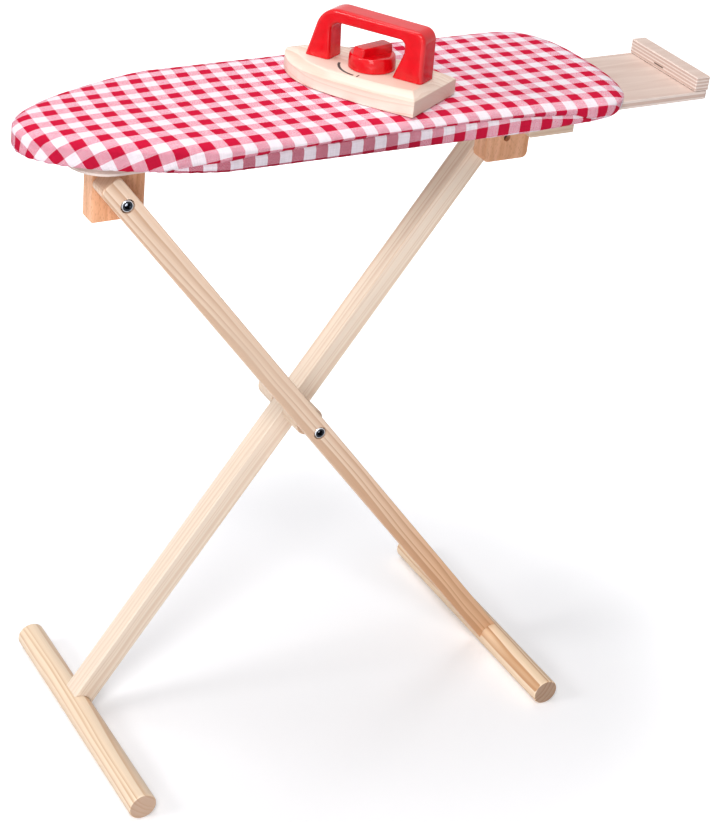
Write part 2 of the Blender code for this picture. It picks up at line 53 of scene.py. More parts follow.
mm = 0.001
nodes = frame["nodes"]


def linear(code):
    # an sRGB hex colour as linear red, green, blue and alpha
    parts = [int(code[k:k + 2], 16) / 255 for k in (1, 3, 5)]
    return [c / 12.92 if c <= 0.04045 else ((c + 0.055) / 1.055) ** 2.4 for c in parts] + [1.0]


def feed(node, inputs):
    # sets or links a node's inputs by name or number. A hex colour is made linear, and a node given as a value is
    # linked by the first of its outputs that is in use.
    for key, value in inputs.items():
        if isinstance(value, str):
            value = linear(value)
        if isinstance(value, bpy.types.Node):
            value = next(socket for socket in value.outputs if socket.enabled)
        if isinstance(value, bpy.types.NodeSocket):
            node.id_data.links.new(value, node.inputs[key])
        else:
            node.inputs[key].default_value = value


def addNode(tree, kind, inputs=None, ramp=None, **settings):
    # adds a shader node, sets its options, feeds its inputs, and sets its colour stops if it has any
    node = tree.nodes.new("ShaderNode" + kind)
    for name, value in settings.items():
        setattr(node, name, value)
    feed(node, inputs or {})
    if ramp:
        stops = node.color_ramp.elements
        while len(stops) < len(ramp):
            stops.new(0.5)
        for stop, (place, colour) in zip(stops, ramp):
            stop.position, stop.color = place, linear(colour)
    return node


def newMaterial(name, **surface):
    # an empty material with a Principled surface whose plain values are set here. Its nodes are added with add.
    material = bpy.data.materials.new(name)
    material.use_nodes = True
    tree = material.node_tree
    tree.nodes.clear()
    add = partial(addNode, tree)
    shader = add("BsdfPrincipled", {key.replace("_", " "): value for key, value in surface.items()})
    add("OutputMaterial", {"Surface": shader})
    return material, add, shader


view = {
    "place": (-0.82086, -1.33959, 1.20229),
    "turn": (0.5588, 0.5288, 0.1085),  # azimuth, elevation and roll
    "lens": 90.75, "sensor": 36.0,  # mm
    "farthest": 60.0,
}


def makeCamera():
    # looks along the photograph's direction, with the small roll it was held at
    azimuth, elevation, roll = view["turn"]
    flat = math.cos(elevation)
    ahead = Vector((math.sin(azimuth) * flat, math.cos(azimuth) * flat, -math.sin(elevation)))
    side = ahead.cross(Vector((0, 0, 1))).normalized()
    above = side.cross(ahead)
    right = math.cos(roll) * side + math.sin(roll) * above
    up = -math.sin(roll) * side + math.cos(roll) * above
    data = bpy.data.cameras.new("camera")
    data.lens, data.sensor_width, data.clip_end = view["lens"], view["sensor"], view["farthest"]
    camera = bpy.data.objects.new("camera", data)
    camera.matrix_world = Matrix.Translation(view["place"]) @ Matrix((right, up, -ahead)).transposed().to_4x4()
    bpy.context.scene.collection.objects.link(camera)
    bpy.context.scene.camera = camera


makeCamera()
print("camera set")

studio = {
    "floorColour": "#F0F0F3", "floorLift": (0.20, 0.90), "liftFrom": (0.26, 0.62), "floorSize": 30.0,
    "ambient": 0.16,
    # each white lamp: name, place, aim, width, height, power
    "lamps": [
        ("keySoftbox", (-1.55, -2.05, 2.75), (0.0, 0.0, 0.45), 1.05, 1.05, 64.0),
        ("lowSoftbox", (-1.7, -2.6, 0.95), (0.0, 0.0, 0.40), 1.1, 0.9, 20.0),
        ("leftSheet", (-2.4, 0.2, 1.6), (0.0, 0.0, 0.35), 0.7, 0.7, 19.0),
        ("topSheet", (-0.2, 0.35, 2.6), (0.0, 0.0, 0.5), 1.8, 1.2, 26.0),
    ],
}


def seenDirectly(add):
    # 1 for rays from the camera and for those that a shiny or clear surface sends on, else 0
    path = add("LightPath").outputs
    seen = add("Math", {0: path["Is Camera Ray"], 1: path["Is Glossy Ray"]}, operation="MAXIMUM")
    return add("Math", {0: seen, 1: path["Is Transmission Ray"]}, operation="MAXIMUM")


def makeStudio():
    scene = bpy.context.scene
    scene.view_settings.view_transform = "Standard"
    # world: even pale light on the object, plain white where the camera or a reflection looks past it
    world = bpy.data.worlds.new("studioAir")
    world.use_nodes = True
    world.node_tree.nodes.clear()
    add = partial(addNode, world.node_tree)
    strength = add("Mix", {0: seenDirectly(add), 2: studio["ambient"], 3: 1.0})
    air = add("Background", {"Color": "#FFFFFF", "Strength": strength})
    add("OutputWorld", {"Surface": air})
    scene.world = world

    # floor: matt paper, lifted to white for the camera, more so away from the object, so that only its shadow shows
    material, add, shader = newMaterial("paperSweep", Base_Color=studio["floorColour"], Roughness=1.0,
                                         Specular_IOR_Level=0.0, Emission_Color="#FFFFFF")
    place = add("TexCoord").outputs["Object"]
    away = add("VectorMath", {0: place}, operation="LENGTH")
    lift = add("MapRange", {
        "Value": away, "From Min": studio["liftFrom"][0], "From Max": studio["liftFrom"][1],
        "To Min": studio["floorLift"][0], "To Max": studio["floorLift"][1]}, interpolation_type="SMOOTHSTEP")
    lift = add("Math", {0: seenDirectly(add), 1: lift}, operation="MULTIPLY")
    feed(shader, {"Emission Strength": lift})
    half = studio["floorSize"] / 2
    mesh = bpy.data.meshes.new("floor")
    mesh.from_pydata([(-half, -half, 0), (half, -half, 0), (half, half, 0), (-half, half, 0)], [], [(0, 1, 2, 3)])
    mesh.materials.append(material)
    floor = bpy.data.objects.new("floor", mesh)
    scene.collection.objects.link(floor)

    for name, place, aim, width, height, power in studio["lamps"]:
        data = bpy.data.lights.new(name, "AREA")
        data.shape, data.size, data.size_y = "RECTANGLE", width, height
        data.energy = power
        lamp = bpy.data.objects.new(name, data)
        turn = (Vector(aim) - Vector(place)).to_track_quat("-Z", "Y")
        lamp.matrix_world = Matrix.Translation(place) @ turn.to_matrix().to_4x4()
        scene.collection.objects.link(lamp)


makeStudio()
print("studio set")


def gridFaces(rows, columns):
    # quads between neighbouring rows of a grid whose rows run round a closed loop
    row, column = np.meshgrid(np.arange(rows - 1), np.arange(columns), indexing="ij")
    after = (column + 1) % columns
    quads = [row * columns + column, row * columns + after, (row + 1) * columns + after, (row + 1) * columns + column]
    return np.stack(quads, -1).reshape(-1, 4)


def makePiece(name, points, faces, material, body, caps=(), crease=180, clothPlaceAndShade=None):
    # one mesh from arrays of points and quads, with flat caps at its ends if it has any, carried by a body of
    # the model. Cloth places, each with its share of painted shade, one for each point, are kept for the cloth's
    # material to read.
    used, faces = np.unique(faces, return_inverse=True)
    points = points.reshape(-1, 3)[used]
    mesh = bpy.data.meshes.new(name)
    mesh.from_pydata(points.tolist(), [], faces.reshape(-1, 4).tolist() + list(caps))
    mesh.materials.append(material)
    mesh.shade_smooth()
    if crease < 180:
        mesh.set_sharp_from_angle(angle=math.radians(crease))
    if clothPlaceAndShade is not None:
        kept = clothPlaceAndShade.reshape(-1, 3)[used].astype(np.float32)
        mesh.attributes.new("clothPlaceAndShade", "FLOAT_VECTOR", "POINT").data.foreach_set("vector", kept.reshape(-1))
    piece = bpy.data.objects.new(name, mesh)
    bpy.context.scene.collection.objects.link(piece)
    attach(piece, body)
    return piece


pineLook = {
    "early": "#F1DDC8", "middle": "#EAD1B8", "late": "#CDA480", "end": "#C6A38A", "tan": "#F6E0CA",
    "ring": 3.3 * mm,  # spacing of the growth rings
    "contrast": 0.55,  # how far the rings show
    "wander": 13 * mm,  # how far they bend along the piece
    "bends": (4.0, 26.0, 26.0),  # slow bends, in waves a metre along and across the grain
    "uneven": (0.45, 2.6),  # changes of the rings' spacing: how often, and by how many rings
    "fibre": 0.8 * mm,  # width of the fine fibres, drawn coarser than the real 0.05 mm to show
    "fibreRun": 22.0,  # changes a metre along a fibre
    "patchTone": (0.90, 1.08), "fibreTone": (0.91, 1.08),
    "endShare": 0.75,  # how far end grain takes its own colour
}
legALook = dict(pineLook, early="#EED6C1", middle="#E6C9B0", late="#C69A78", tan="#F9E4CE",
                wander=6 * mm, ring=2.7 * mm, contrast=0.65)
legBLook = dict(pineLook, early="#F5E5D4", middle="#F0DCC8", late="#D6B294", wander=8 * mm, contrast=0.45)
footALook = dict(pineLook, early="#F8E0C4", middle="#F0D2B0", late="#C48F62", end="#8E6A54",
                 ring=5.2 * mm, contrast=0.85)
footBLook = dict(pineLook, early="#F4E1CA", middle="#EDD4B8", late="#C99C72", end="#B8937B",
                 ring=5.6 * mm, contrast=0.8)
soleLook = dict(pineLook, early="#F5E3D6", middle="#F0DACA", late="#D3B09A", end="#D9BFB0", contrast=0.5)


def makePine(name, origin, turn, heart, seed, look, stamp=None, tanned=None):
    # planed and lacquered pine: pale early wood, soft darker lines of late wood along the grain, satin shine.
    # A piece may be tanned, which darkens it gradually between two places along it, and it may carry a stamp.
    # Rings follow the distance from a heart line beside the piece, bent by slow noise along the grain.
    material, add, shader = newMaterial(name, Roughness=0.5, IOR=1.46, Coat_Weight=0.15, Coat_Roughness=0.3)
    place = add("TexCoord").outputs["Object"]
    local = add("Mapping", {"Vector": place, "Location": origin, "Rotation": turn}, vector_type="TEXTURE")
    slow = add("Mapping", {"Vector": local, "Scale": look["bends"], "Location": (seed, 0.0, 0.0)})
    bend = add("TexNoise", {"Vector": slow, "Scale": 1.0})
    bend = add("VectorMath", {0: bend.outputs["Color"], 1: (0.5, 0.5, 0.5)}, operation="SUBTRACT")
    bend = add("VectorMath", {0: bend, 1: (0.0, look["wander"], look["wander"])}, operation="MULTIPLY")
    bent = add("VectorMath", {0: local, 1: bend}, operation="ADD")
    lean = add("VectorMath", {0: bent, 1: (0.02, 1.0, 1.0)}, operation="MULTIPLY")
    fromHeart = add("VectorMath", {0: lean, 1: (0.0, heart[0], heart[1])}, operation="SUBTRACT")
    radius = add("VectorMath", {0: fromHeart}, operation="LENGTH")
    count = add("Math", {0: radius, 1: look["ring"]}, operation="DIVIDE")
    uneven = add("TexNoise", {"W": count, "Scale": look["uneven"][0], "Detail": 1.0}, noise_dimensions="1D")
    count = add("Math", {0: uneven, 1: look["uneven"][1], 2: count}, operation="MULTIPLY_ADD")
    phase = add("Math", {0: count}, operation="FRACT")
    rings = add("ValToRGB", {"Fac": phase}, ramp=[
        (0.0, look["early"]), (0.45, look["middle"]), (0.80, look["late"]),
        (0.90, look["late"]), (1.0, look["early"])])
    # slow changes of colour along the piece, rings that fade in and out, and fine fibres
    patch = add("TexNoise", {"Vector": slow, "Scale": 0.9, "Detail": 3.0})
    low, high = look["patchTone"]
    patchTone = add("MapRange", {"Value": patch, "To Min": low, "To Max": high})
    shown = add("MapRange", {
        "Value": patch, "From Min": 0.35, "From Max": 0.65,
        "To Min": 0.5 * look["contrast"], "To Max": 1.2 * look["contrast"]})
    fine = add("Mapping", {"Vector": local, "Scale": (look["fibreRun"], 1 / look["fibre"], 1 / look["fibre"])})
    fibre = add("TexNoise", {"Vector": fine, "Scale": 1.0})
    low, high = look["fibreTone"]
    fibreTone = add("MapRange", {"Value": fibre, "To Min": low, "To Max": high})
    tone = add("Math", {0: patchTone, 1: fibreTone}, operation="MULTIPLY")
    softRings = add("Mix", {0: shown, 6: look["middle"], 7: rings}, data_type="RGBA")
    wood = add("VectorMath", {0: softRings, 3: tone}, operation="SCALE")
    if tanned:
        along = add("SeparateXYZ", {0: local})
        share = add("MapRange", {"Value": along.outputs["X"], "From Min": tanned[0], "From Max": tanned[1]})
        tan = add("Mix", {0: share, 6: "#FFFFFF", 7: look["tan"]}, data_type="RGBA")
        wood = add("VectorMath", {0: wood, 1: tan}, operation="MULTIPLY")
    # end grain takes up more lacquer and is duller
    normal = add("NewGeometry")
    axis = Matrix.Rotation(turn[2], 3, "Z") @ Matrix.Rotation(turn[1], 3, "Y") @ Vector((1, 0, 0))
    facing = add("VectorMath", {0: normal.outputs["Normal"], 1: axis}, operation="DOT_PRODUCT")
    facing = add("Math", {0: facing}, operation="ABSOLUTE")
    isEnd = add("MapRange", {"Value": facing, "From Min": 0.72, "From Max": 0.95, "To Max": look["endShare"]})
    colour = add("Mix", {0: isEnd, 6: wood, 7: look["end"]}, data_type="RGBA")
    if stamp:
        colour = addArc(add, place, stamp, colour)
    ridge = add("Math", {0: fibre, 1: phase}, operation="ADD")
    bump = add("Bump", {"Height": ridge, "Strength": 0.08, "Distance": 0.1 * mm})
    feed(shader, {"Base Color": colour, "Normal": bump})
    return material


def band(add, value, low, high, soft):
    # 1 between low and high, falling to 0 over soft on each side
    rise = add("MapRange", {"Value": value, "From Min": low - soft, "From Max": low})
    fall = add("MapRange", {"Value": value, "From Min": high, "From Max": high + soft, "To Min": 1.0, "To Max": 0.0})
    return add("Math", {0: rise, 1: fall}, operation="MULTIPLY")


arcPrint = {
    "ink": "#120C0C", "radius": 26.2 * mm, "half": 1.0 * mm,
    "from": 20, "to": 86,  # degrees from the iron's nose
    "tickAngle": 95, "tickIn": 23.0 * mm, "tickOut": 28.0 * mm, "tickHalf": 0.5 * mm,
}


def addArc(add, vector, place, wood):
    # stamped ink: a quarter arc round the dial and a short tick at its end, slightly uneven at the edge
    look = arcPrint
    local = add("Mapping", {"Vector": vector, "Location": place[0], "Rotation": place[1]}, vector_type="TEXTURE")
    parts = add("SeparateXYZ", {0: local})
    x, y, z = (parts.outputs[k] for k in range(3))
    flat = add("CombineXYZ", {0: x, 1: y})
    radius = add("VectorMath", {0: flat}, operation="LENGTH")
    angle = add("Math", {0: y, 1: x}, operation="ARCTAN2")
    angle = add("Math", {0: angle, 1: 180 / math.pi}, operation="MULTIPLY")
    onArc = add("Math", {
        0: band(add, radius, look["radius"] - look["half"], look["radius"] + look["half"], 0.2 * mm),
        1: band(add, angle, look["from"], look["to"], 2.0)}, operation="MULTIPLY")
    turn = math.radians(look["tickAngle"])
    across = (-math.sin(turn), math.cos(turn), 0.0)
    off = add("VectorMath", {0: flat, 1: across}, operation="DOT_PRODUCT")
    onTick = add("Math", {
        0: band(add, off, -look["tickHalf"], look["tickHalf"], 0.2 * mm),
        1: band(add, radius, look["tickIn"], look["tickOut"], 0.3 * mm)}, operation="MULTIPLY")
    nearSide = add("Math", {0: y, 1: 0.0}, operation="GREATER_THAN")
    onTick = add("Math", {0: onTick, 1: nearSide}, operation="MULTIPLY")
    ink = add("Math", {0: onArc, 1: onTick}, operation="MAXIMUM")
    onTop = add("Math", {0: z, 1: -0.4 * mm}, operation="GREATER_THAN")
    worn = add("TexNoise", {"Vector": vector, "Scale": 1400.0, "Detail": 1.0})
    worn = add("MapRange", {"Value": worn, "From Min": 0.25, "From Max": 0.45, "To Min": 0.7})
    ink = add("Math", {0: ink, 1: onTop}, operation="MULTIPLY")
    ink = add("Math", {0: ink, 1: worn}, operation="MULTIPLY")
    return add("Mix", {0: ink, 6: wood, 7: look["ink"]}, data_type="RGBA")


beechLook = {
    "dark": "#D39468", "light": "#EDB58E", "fleck": "#AC6C44",
    "fleckLength": 2.2 * mm, "fleckWidth": 0.45 * mm, "fleckShare": 0.5,
    "grain": (160.0, 160.0, 14.0),  # waves a metre across and along the upright grain
}


def makeBeech():
    # oiled beech: warm orange brown, close grain with short darker ray flecks, dull satin
    look = beechLook
    material, add, shader = newMaterial("oiledBeech", Roughness=0.55, IOR=1.46,
                                         Coat_Weight=0.08, Coat_Roughness=0.35)
    place = add("TexCoord").outputs["Object"]
    long = add("Mapping", {"Vector": place, "Scale": look["grain"]})
    grain = add("TexNoise", {"Vector": long, "Scale": 1.0, "Detail": 4.0, "Distortion": 0.6})
    base = add("ValToRGB", {"Fac": grain}, ramp=[(0.3, look["dark"]), (0.62, look["light"])])
    across, along = 0.5 / look["fleckWidth"], 0.5 / look["fleckLength"]
    cell = add("Mapping", {"Vector": place, "Scale": (across, across, along)})
    flecks = add("TexVoronoi", {"Vector": cell, "Scale": 1.0})
    isFleck = add("MapRange", {"Value": flecks, "From Min": 0.34, "From Max": 0.2, "To Max": look["fleckShare"]})
    colour = add("Mix", {0: isFleck, 6: base, 7: look["fleck"]}, data_type="RGBA")
    bump = add("Bump", {"Height": flecks, "Strength": 0.08, "Distance": 0.1 * mm})
    feed(shader, {"Base Color": colour, "Normal": bump})
    return material


plyLook = {
    "face": "#DBC6BB", "faceDark": "#CDB4A8", "edgeLight": "#E6D5CC", "edgeDark": "#CDB2A6",
    "glue": "#A08475", "glueShare": 0.5, "void": "#5A4438",
    "figure": (9.0, 90.0, 60.0), "pores": (120.0, 900.0, 900.0),  # waves a metre along and across
    "panelPly": 2.1 * mm, "basePly": 2.6 * mm, "lipPly": 1.49 * mm,
    # gap in the lip's core: its middle and half length across the board, its height and its thickness
    "lipGap": (6 * mm, 6 * mm, 572.3 * mm, 1.0 * mm),
}


def makePlywood(name, bottom, ply, seed, void=None):
    # sanded birch plywood: pale veneer with faint streaks on top, and thin plies of turned grain along its edges.
    # Plies are counted upward from just under the board's underside, and the core may have a dark gap.
    look = plyLook
    material, add, shader = newMaterial(name, Roughness=0.6, IOR=1.45)
    place = add("TexCoord").outputs["Object"]
    cut = add("SeparateXYZ", {0: place})
    height = add("Math", {0: cut.outputs["Z"], 1: bottom - 0.25 * mm}, operation="SUBTRACT")
    layer = add("Math", {0: height, 1: ply}, operation="DIVIDE")
    within = add("Math", {0: layer}, operation="FRACT")
    number = add("Math", {0: layer}, operation="FLOOR")
    odd = add("Math", {0: number, 1: 2.0}, operation="FLOORED_MODULO")
    streak = add("Mapping", {"Vector": place, "Scale": look["figure"], "Location": (seed, seed, 0.0)})
    figure = add("TexNoise", {"Vector": streak, "Scale": 1.0, "Detail": 5.0, "Distortion": 0.8})
    face = add("ValToRGB", {"Fac": figure}, ramp=[(0.32, look["faceDark"]), (0.66, look["face"])])
    pores = add("Mapping", {"Vector": place, "Scale": look["pores"]})
    poreNoise = add("TexNoise", {"Vector": pores, "Scale": 1.0, "Detail": 1.0})
    edge = add("Mix", {0: odd, 6: look["edgeLight"], 7: look["edgeDark"]}, data_type="RGBA")
    edgeTone = add("MapRange", {"Value": poreNoise, "To Min": 0.92, "To Max": 1.06})
    edge = add("VectorMath", {0: edge, 3: edgeTone}, operation="SCALE")
    line = add("Math", {0: within, 1: 0.5}, operation="SUBTRACT")
    line = add("Math", {0: line}, operation="ABSOLUTE")
    isGlue = add("MapRange", {"Value": line, "From Min": 0.42, "From Max": 0.49, "To Max": look["glueShare"]})
    edge = add("Mix", {0: isGlue, 6: edge, 7: look["glue"]}, data_type="RGBA")
    normal = add("NewGeometry")
    parts = add("SeparateXYZ", {0: normal.outputs["Normal"]})
    upright = add("Math", {0: parts.outputs["Z"]}, operation="ABSOLUTE")
    onFace = add("MapRange", {"Value": upright, "From Min": 0.6, "From Max": 0.85})
    colour = add("Mix", {0: onFace, 6: edge, 7: face}, data_type="RGBA")
    if void:
        middle, half, level, thick = void
        along = band(add, cut.outputs["Y"], middle - half, middle + half, 1.2 * mm)
        across = band(add, cut.outputs["Z"], level - thick / 2, level + thick / 2, 0.2 * mm)
        inner = add("Math", {0: parts.outputs["X"], 1: -0.8}, operation="LESS_THAN")
        gap = add("Math", {0: along, 1: across}, operation="MULTIPLY")
        gap = add("Math", {0: gap, 1: inner}, operation="MULTIPLY")
        colour = add("Mix", {0: gap, 6: colour, 7: look["void"]}, data_type="RGBA")
    bump = add("Bump", {"Height": poreNoise, "Strength": 0.08, "Distance": 0.1 * mm})
    feed(shader, {"Base Color": colour, "Normal": bump})
    return material


zincLook = {
    "dark": "#A9B3BF", "light": "#DDE3EA", "cloud": 900.0, "rough": (0.2, 0.38),
    # painted reflection of a cap head: share of the head's radius, and colour there: bright glints in the socket and at
    # the rim, a dark reflected ring between
    "cap": 5 * mm, "paintedReflectionShare": 0.97,
    "paintedReflection": ((0.20, "#E2EAFA"), (0.30, "#1C2436"), (0.42, "#0B0E18"), (0.80, "#0B0E18"), (0.92, "#E6EAF0")),
}


def makeZinc(name, middle=None):
    # zinc-plated steel: cool grey metal with a slightly cloudy shine. A cap head also has painted reflection on its
    # face by distance from the bolt's axis: a bright glint in the socket, a dark blue-black ring and a bright rim
    # glint.
    look = zincLook
    material, add, shader = newMaterial(name, Metallic=1.0)
    place = add("TexCoord").outputs["Object"]
    cloud = add("TexNoise", {"Vector": place, "Scale": look["cloud"]})
    colour = add("ValToRGB", {"Fac": cloud}, ramp=[(0.3, look["dark"]), (0.7, look["light"])])
    if middle:
        # painted reflection: bright socket glint, dark ring and bright rim glint, by radius from the bolt's axis
        local = add("Mapping", {"Vector": place, "Location": middle}, vector_type="TEXTURE")
        flat = add("VectorMath", {0: local, 1: (1.0, 0.0, 1.0)}, operation="MULTIPLY")
        radius = add("VectorMath", {0: flat}, operation="LENGTH")
        share = add("Math", {0: radius, 1: look["cap"]}, operation="DIVIDE")
        paintedReflection = add("ValToRGB", {"Fac": share}, ramp=look["paintedReflection"])
        colour = add("Mix", {0: look["paintedReflectionShare"], 6: colour, 7: paintedReflection}, data_type="RGBA")
    rough = add("MapRange", {"Value": cloud, "To Min": look["rough"][0], "To Max": look["rough"][1]})
    feed(shader, {"Base Color": colour, "Roughness": rough})
    return material


enamelLook = {"colour": "#DC0D19", "deep": "#D00A14", "orangePeel": 2.6 * mm}


def makeEnamel():
    # red gloss enamel on wood: saturated red, hard clear shine, barely uneven like orange peel
    look = enamelLook
    material, add, shader = newMaterial("redGlossEnamel", Roughness=0.14, IOR=1.5, Specular_IOR_Level=0.35)
    place = add("TexCoord").outputs["Object"]
    cloud = add("TexNoise", {"Vector": place, "Scale": 0.35 / look["orangePeel"]})
    colour = add("ValToRGB", {"Fac": cloud}, ramp=[(0.3, look["deep"]), (0.7, look["colour"])])
    peel = add("TexNoise", {"Vector": place, "Scale": 1 / look["orangePeel"], "Detail": 1.0})
    bump = add("Bump", {"Height": peel, "Strength": 0.04, "Distance": 0.1 * mm})
    feed(shader, {"Base Color": colour, "Normal": bump})
    return material


ginghamLook = {
    "red": "#CC123A", "white": "#F3E8EE",
    "redAmongWhite": "#E63E70", "whiteAmongRed": "#F0E3EB",  # threads of the mixed squares, on the top
    "redInPaintedShade": "#940C2C", "whiteInPaintedShade": "#CC94A4",  # and where painted shade darkens the side band, the nose's wall and the shoulder
    "plainInPaintedShade": "#DACFD8",
    "period": 20.0 * mm,  # one red and one white stripe
    "thread": 0.5 * mm,  # thread spacing, drawn coarser than the real 0.3 mm to show
    "slubs": 90.0,  # thicker places a metre along a thread
    "threadTone": (0.82, 1.1),
}


def makeGingham():
    # woven cotton gingham: dyed and white threads cross in a plain weave, so stripes give red, white and mixed
    # squares. The stored cloth place is in metres, with a red square's middle at whole periods. Its third
    # number is the share of painted shade, which darkens the colours, from 0 on the top to 1 at the hem.
    look = ginghamLook
    material, add, shader = newMaterial("ginghamCotton", Roughness=0.9, IOR=1.45, Specular_IOR_Level=0.15)
    place = add("Attribute", attribute_name="clothPlaceAndShade")
    cut = add("SeparateXYZ", {0: place.outputs["Vector"]})
    isDyed, tones, rounds, cells = [], [], [], []
    for axis, across in (("X", "Y"), ("Y", "X")):
        share = add("Math", {0: cut.outputs[axis], 1: look["period"]}, operation="DIVIDE")
        share = add("Math", {0: share, 1: 0.25}, operation="ADD")
        share = add("Math", {0: share}, operation="FRACT")
        isDyed.append(add("Math", {0: share, 1: 0.5}, operation="LESS_THAN"))
        count = add("Math", {0: cut.outputs[axis], 1: look["thread"]}, operation="DIVIDE")
        cells.append(add("Math", {0: count}, operation="FLOOR"))
        rounds.append(add("Math", {0: count, 1: 1.0}, operation="PINGPONG"))
        # each thread has its own strength of colour, and slubs along it
        run = add("Math", {0: cut.outputs[across], 1: look["slubs"]}, operation="MULTIPLY")
        both = add("CombineXYZ", {0: cells[-1], 1: run})
        slub = add("TexNoise", {"Vector": both, "Scale": 0.83, "Detail": 1.0}, noise_dimensions="2D")
        low, high = look["threadTone"]
        tones.append(add("MapRange", {"Value": slub, "From Min": 0.2, "From Max": 0.8, "To Min": low, "To Max": high}))
    mixed = add("Math", {0: isDyed[0], 1: isDyed[1]}, operation="COMPARE")
    mixed = add("Math", {0: 1.0, 1: mixed}, operation="SUBTRACT")
    # each kind of thread has one colour on the top and a darker copy for painted shade on the band and shoulder
    kinds = [("red", "redInPaintedShade"), ("redAmongWhite", "redInPaintedShade"),
             ("white", "plainInPaintedShade"), ("whiteAmongRed", "whiteInPaintedShade")]
    redPlain, redMixed, whitePlain, whiteMixed = (
        add("Mix", {0: cut.outputs["Z"], 6: look[top], 7: look[side]}, data_type="RGBA") for top, side in kinds)
    red = add("Mix", {0: mixed, 6: redPlain, 7: redMixed}, data_type="RGBA")
    white = add("Mix", {0: mixed, 6: whitePlain, 7: whiteMixed}, data_type="RGBA")
    threads = [add("Mix", {0: dyed, 6: white, 7: red}, data_type="RGBA") for dyed in isDyed]
    total = add("Math", {0: cells[0], 1: cells[1]}, operation="ADD")
    over = add("Math", {0: total, 1: 2.0}, operation="FLOORED_MODULO")
    over = add("Math", {0: over, 1: 0.5}, operation="GREATER_THAN")
    colour = add("Mix", {0: over, 6: threads[0], 7: threads[1]}, data_type="RGBA")
    tone = add("Mix", {0: over, 2: tones[0], 3: tones[1]})
    colour = add("VectorMath", {0: colour, 3: tone}, operation="SCALE")
    height = add("Mix", {0: over, 2: rounds[0], 3: rounds[1]})
    bump = add("Bump", {"Height": height, "Strength": 0.25, "Distance": 0.12 * mm})
    feed(shader, {"Base Color": colour, "Normal": bump})
    return material


foamLook = {"dark": "#CFC8B4", "light": "#EFEAD9", "cells": 700.0}


def makeFoam():
    # cut polyurethane foam: off-white, matt, small open cells
    look = foamLook
    material, add, shader = newMaterial("padFoam", Roughness=1.0, Specular_IOR_Level=0.1)
    place = add("TexCoord").outputs["Object"]
    cellular = add("TexVoronoi", {"Vector": place, "Scale": look["cells"]})
    colour = add("ValToRGB", {"Fac": cellular}, ramp=[(0.1, look["dark"]), (0.6, look["light"])])
    bump = add("Bump", {"Height": cellular, "Strength": 0.4, "Distance": 0.4 * mm})
    feed(shader, {"Base Color": colour, "Normal": bump})
    return material


ginghamCotton = makeGingham()
padFoam = makeFoam()
redEnamel = makeEnamel()

cover = {
    "noseTaper": 137 * mm, "taperPower": 1.2, "noseHalf": 81 * mm, "tailHalf": 85.5 * mm,
    "tailRound": 58 * mm, "tailPower": 4.0,
    "around": 720, "rows": (24, 18),  # points round the outline, rows of the flat top and of the shoulder
    "shoulder": 18 * mm,  # rounded run from the wall up to the flat top
    "shoulderPowers": (2.2, 0.75),
    "shoulderCloth": 1.9,  # how far the cloth moves over the shoulder for each mm that its arc adds
    "foot": 15.7 * mm,  # where that run starts, above the cover's lower edge
    "seam": 14.8 * mm,  # seam above the lower edge along the straight sides
    "seamFall": 6.8 * mm, "seamEnd": (0.138, 0.176),
    "edgeRound": 2.6 * mm, "tailEdgeRound": 12.5 * mm,
    "hem": 20 * mm,
    "spareBelow": 0.25 * mm, "spareAbove": 0.35 * mm,  # room for folds and waves inside the cover's box
    "panelInset": 1.5 * mm, "panelInnerRow": 45 * mm,
    "creaseDeep": 1.3 * mm, "creaseWide": 1.3 * mm,
    "puffAbove": 0.7 * mm, "puffBelow": 0.35 * mm, "puffWide": 3 * mm,
    "pucker": 0.22 * mm, "puckerReach": 8 * mm, "puckers": (107, 149),  # drawn in by the stitching, and how many
    "gather": 0.45 * mm, "gathers": (139, 83),  # folds round the nose and the square end, and how many
    "wave": 0.34 * mm,  # slow waves of the top
}
coverLow, coverHigh = (np.array(corner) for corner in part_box("gingham_cover"))


def ease(values, low, high):
    t = np.clip((values - low) / (high - low), 0, 1)
    return t * t * (3 - 2 * t)


def halfWidth(x):
    # nose taper 1 - (1 - s)^1.2 under a root, a slow widening, then the square end rounded off by a fourth power
    length = coverHigh[0] - coverLow[0]
    nose = np.clip((x - coverLow[0]) / cover["noseTaper"], 0, 1)
    tail = np.clip((x - (coverHigh[0] - cover["tailRound"])) / cover["tailRound"], 0, 1)
    body = cover["noseHalf"] + (cover["tailHalf"] - cover["noseHalf"]) * (x - coverLow[0]) / length
    return body * np.sqrt(1 - (1 - nose) ** cover["taperPower"]) * np.sqrt(1 - tail ** cover["tailPower"])


def boardOutline(count):
    # the closed outline, near side first from the nose, at equal steps of arc length
    t = np.linspace(0, np.pi, 3001)
    x = coverLow[0] + (coverHigh[0] - coverLow[0]) * (1 - np.cos(t)) / 2
    y = halfWidth(x)
    loop = np.concatenate([np.stack([x, -y], 1), np.stack([x, y], 1)[::-1][1:]])
    along = np.concatenate([[0], np.cumsum(np.linalg.norm(np.diff(loop, axis=0), axis=1))])
    wanted = np.arange(count) * along[-1] / count
    return np.stack([np.interp(wanted, along, loop[:, k]) for k in (0, 1)], 1)


def outwardOf(outline):
    # unit normals of the outline, from its neighbours on both sides
    tangent = np.roll(outline, -1, 0) - np.roll(outline, 1, 0)
    outward = np.stack([tangent[:, 1], -tangent[:, 0]], 1)
    return outward / np.linalg.norm(outward, axis=1)[:, None]


def drawnIn(outline, insets):
    # the outline scaled toward its middle, one row for each inset, so that every side moves in by about that much
    insets = np.reshape(insets, (-1, 1))
    middle = (coverLow[0] + coverHigh[0]) / 2
    length = coverHigh[0] - coverLow[0]
    x = middle + (outline[:, 0] - middle) * (1 - 2 * insets / length)
    return np.stack([x, outline[:, 1] * (1 - insets / cover["tailHalf"])], -1)


def foldedRow(faces, row, count):
    # on a row along the middle line the far half takes the near half's points, which closes the surface there
    column = faces % count
    return np.where(faces // count == row, row * count + np.minimum(column, count - column), faces)


